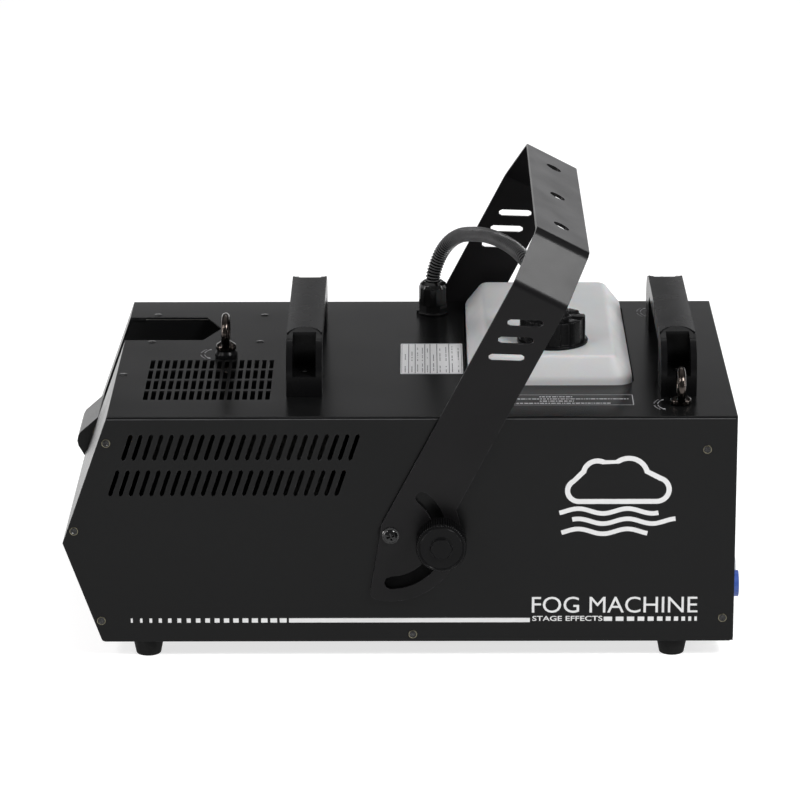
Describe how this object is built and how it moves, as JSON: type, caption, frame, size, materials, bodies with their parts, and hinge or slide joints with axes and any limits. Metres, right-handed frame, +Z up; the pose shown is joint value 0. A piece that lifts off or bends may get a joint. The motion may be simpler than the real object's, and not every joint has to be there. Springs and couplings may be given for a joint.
{
  "type": "fog machine",
  "caption": "Black sheet-metal fog machine with a well for its fluid can, a corrugated suction hose, carrying handles, lifting eyes and a clamped hanging yoke.",
  "frame": {"origin": "on the floor under the middle of the bounding box", "axes": "+Z up, -X the way the fog leaves, +X the connector panel, +Y the right side seen from behind the machine"},
  "size_m": [0.641, 0.464, 0.4104],
  "materials": {
    "case_paint": "satin black powder coat with a fine texture",
    "yoke_paint": "satin black powder coat",
    "black_plastic": "satin moulded nylon",
    "rubber": "matt",
    "can_plastic": "translucent natural polyethylene",
    "hose_plastic": "satin corrugated polyamide",
    "zinc_steel": "zinc plated",
    "dark_steel": "black nickel",
    "aluminium": "satin",
    "cast_aluminium": "heat-darkened casting",
    "connector_nickel": "satin nickel",
    "brass": "turned",
    "copper": "drawn",
    "insulation": "dark woven glass fibre",
    "circuit_board": "solder mask",
    "blue_plastic": "moulded",
    "grey_plastic": "moulded",
    "display": "smoked window",
    "red_plastic": "moulded"
  },
  "bodies": {
    "chassis": {"base_tray": "case_paint", "clamp_nut_left": "zinc_steel", "clamp_nut_right": "zinc_steel", "control_board": "circuit_board", "cover": "case_paint", "dip_tube": "can_plastic", "display_window": "display", "fan_frame": "black_plastic", "fluid_tank": "can_plastic", "fog_nozzle": "brass", "foot_front_left": "rubber", "foot_front_right": "rubber", "foot_rear_left": "rubber", "foot_rear_right": "rubber", "front_panel": "case_paint", "fuse_holder": "black_plastic", "gland_body": "black_plastic", "gland_nut": "black_plastic", "handle_front": "black_plastic", "handle_rear": "black_plastic", "heater_block": "cast_aluminium", "heater_jacket": "insulation", "heater_stand": "zinc_steel", "inlet_tube": "can_plastic", "lock_bush_front": "black_plastic", "outlet_chute": "case_paint", "outlet_hood": "case_paint", "pivot_screw_left": "dark_steel", "pivot_screw_right": "dark_steel", "pivot_washer_left": "black_plastic", "pivot_washer_right": "black_plastic", "power_board": "circuit_board", "power_inlet": "blue_plastic", "power_outlet": "grey_plastic", "pressure_tube": "copper", "pump": "black_plastic", "pump_bracket": "zinc_steel", "rear_panel": "case_paint", "signal_input": "connector_nickel", "signal_output": "connector_nickel", "suction_hose": "hose_plastic", "switch_frame": "black_plastic", "tank_cradle": "aluminium", "thermostat": "aluminium"},
    "yoke": {"yoke_bracket": "yoke_paint"},
    "knob_left": {"clamp_knob_left": "black_plastic", "clamp_stud_left": "zinc_steel"},
    "knob_right": {"clamp_knob_right": "black_plastic", "clamp_stud_right": "zinc_steel"},
    "eye_front": {"lock_eye_front": "dark_steel"},
    "eye_rear_left": {"lock_eye_rear_left": "dark_steel"},
    "eye_rear_right": {"lock_eye_rear_right": "dark_steel"},
    "screw_cap": {"tank_cap": "black_plastic"},
    "key_menu": {"button_menu": "black_plastic"},
    "key_up": {"button_up": "black_plastic"},
    "key_down": {"button_down": "black_plastic"},
    "key_enter": {"button_enter": "black_plastic"},
    "rocker": {"power_rocker": "red_plastic"},
    "fuse_turn_cap": {"fuse_cap": "black_plastic"},
    "rotor": {"fan_rotor": "black_plastic"}
  },
  "joints": [
    {"name": "yoke_tilt", "type": "hinge", "parent": "chassis", "child": "yoke", "pos_m": [-0.0085, 0, 0.124], "axis": [0, 1, 0], "range_deg": [-88, 22]},
    {"name": "knob_left_turn", "type": "hinge", "parent": "chassis", "child": "knob_left", "pos_m": [0.0385, -0.2, 0.122], "axis": [0, -1, 0], "range_deg": [0, 540]},
    {"name": "knob_right_turn", "type": "hinge", "parent": "chassis", "child": "knob_right", "pos_m": [0.0385, 0.2, 0.122], "axis": [0, 1, 0], "range_deg": [0, 540]},
    {"name": "eye_front_turn", "type": "hinge", "parent": "chassis", "child": "eye_front", "pos_m": [-0.1685, 0, 0.25], "axis": [0, 0, 1], "range_deg": [0, 90]},
    {"name": "eye_rear_left_turn", "type": "hinge", "parent": "chassis", "child": "eye_rear_left", "pos_m": [0.262, -0.153, 0.25], "axis": [0, 0, 1], "range_deg": [0, 90]},
    {"name": "eye_rear_right_turn", "type": "hinge", "parent": "chassis", "child": "eye_rear_right", "pos_m": [0.262, 0.153, 0.25], "axis": [0, 0, 1], "range_deg": [0, 90]},
    {"name": "cap_turn", "type": "hinge", "parent": "chassis", "child": "screw_cap", "pos_m": [0.146, -0.038, 0.28], "axis": [0, 0, 1], "range_deg": [0, 540]},
    {"name": "key_menu_press", "type": "slide", "parent": "chassis", "child": "key_menu", "axis": [-1, 0, 0], "range_m": [0, 0.0012], "stiffness_N_per_m": 300},
    {"name": "key_up_press", "type": "slide", "parent": "chassis", "child": "key_up", "axis": [-1, 0, 0], "range_m": [0, 0.0012], "stiffness_N_per_m": 300},
    {"name": "key_down_press", "type": "slide", "parent": "chassis", "child": "key_down", "axis": [-1, 0, 0], "range_m": [0, 0.0012], "stiffness_N_per_m": 300},
    {"name": "key_enter_press", "type": "slide", "parent": "chassis", "child": "key_enter", "axis": [-1, 0, 0], "range_m": [0, 0.0012], "stiffness_N_per_m": 300},
    {"name": "rocker_tilt", "type": "hinge", "parent": "chassis", "child": "rocker", "pos_m": [0.3115, 0.062, 0.055], "axis": [0, 1, 0], "range_deg": [-16, 0]},
    {"name": "fuse_cap_turn", "type": "hinge", "parent": "chassis", "child": "fuse_turn_cap", "pos_m": [0.315, 0.025, 0.055], "axis": [1, 0, 0], "range_deg": [0, 90]},
    {"name": "rotor_spin", "type": "hinge", "parent": "chassis", "child": "rotor", "pos_m": [0.3, 0.1, 0.16], "axis": [1, 0, 0], "continuous": true}
  ]
}
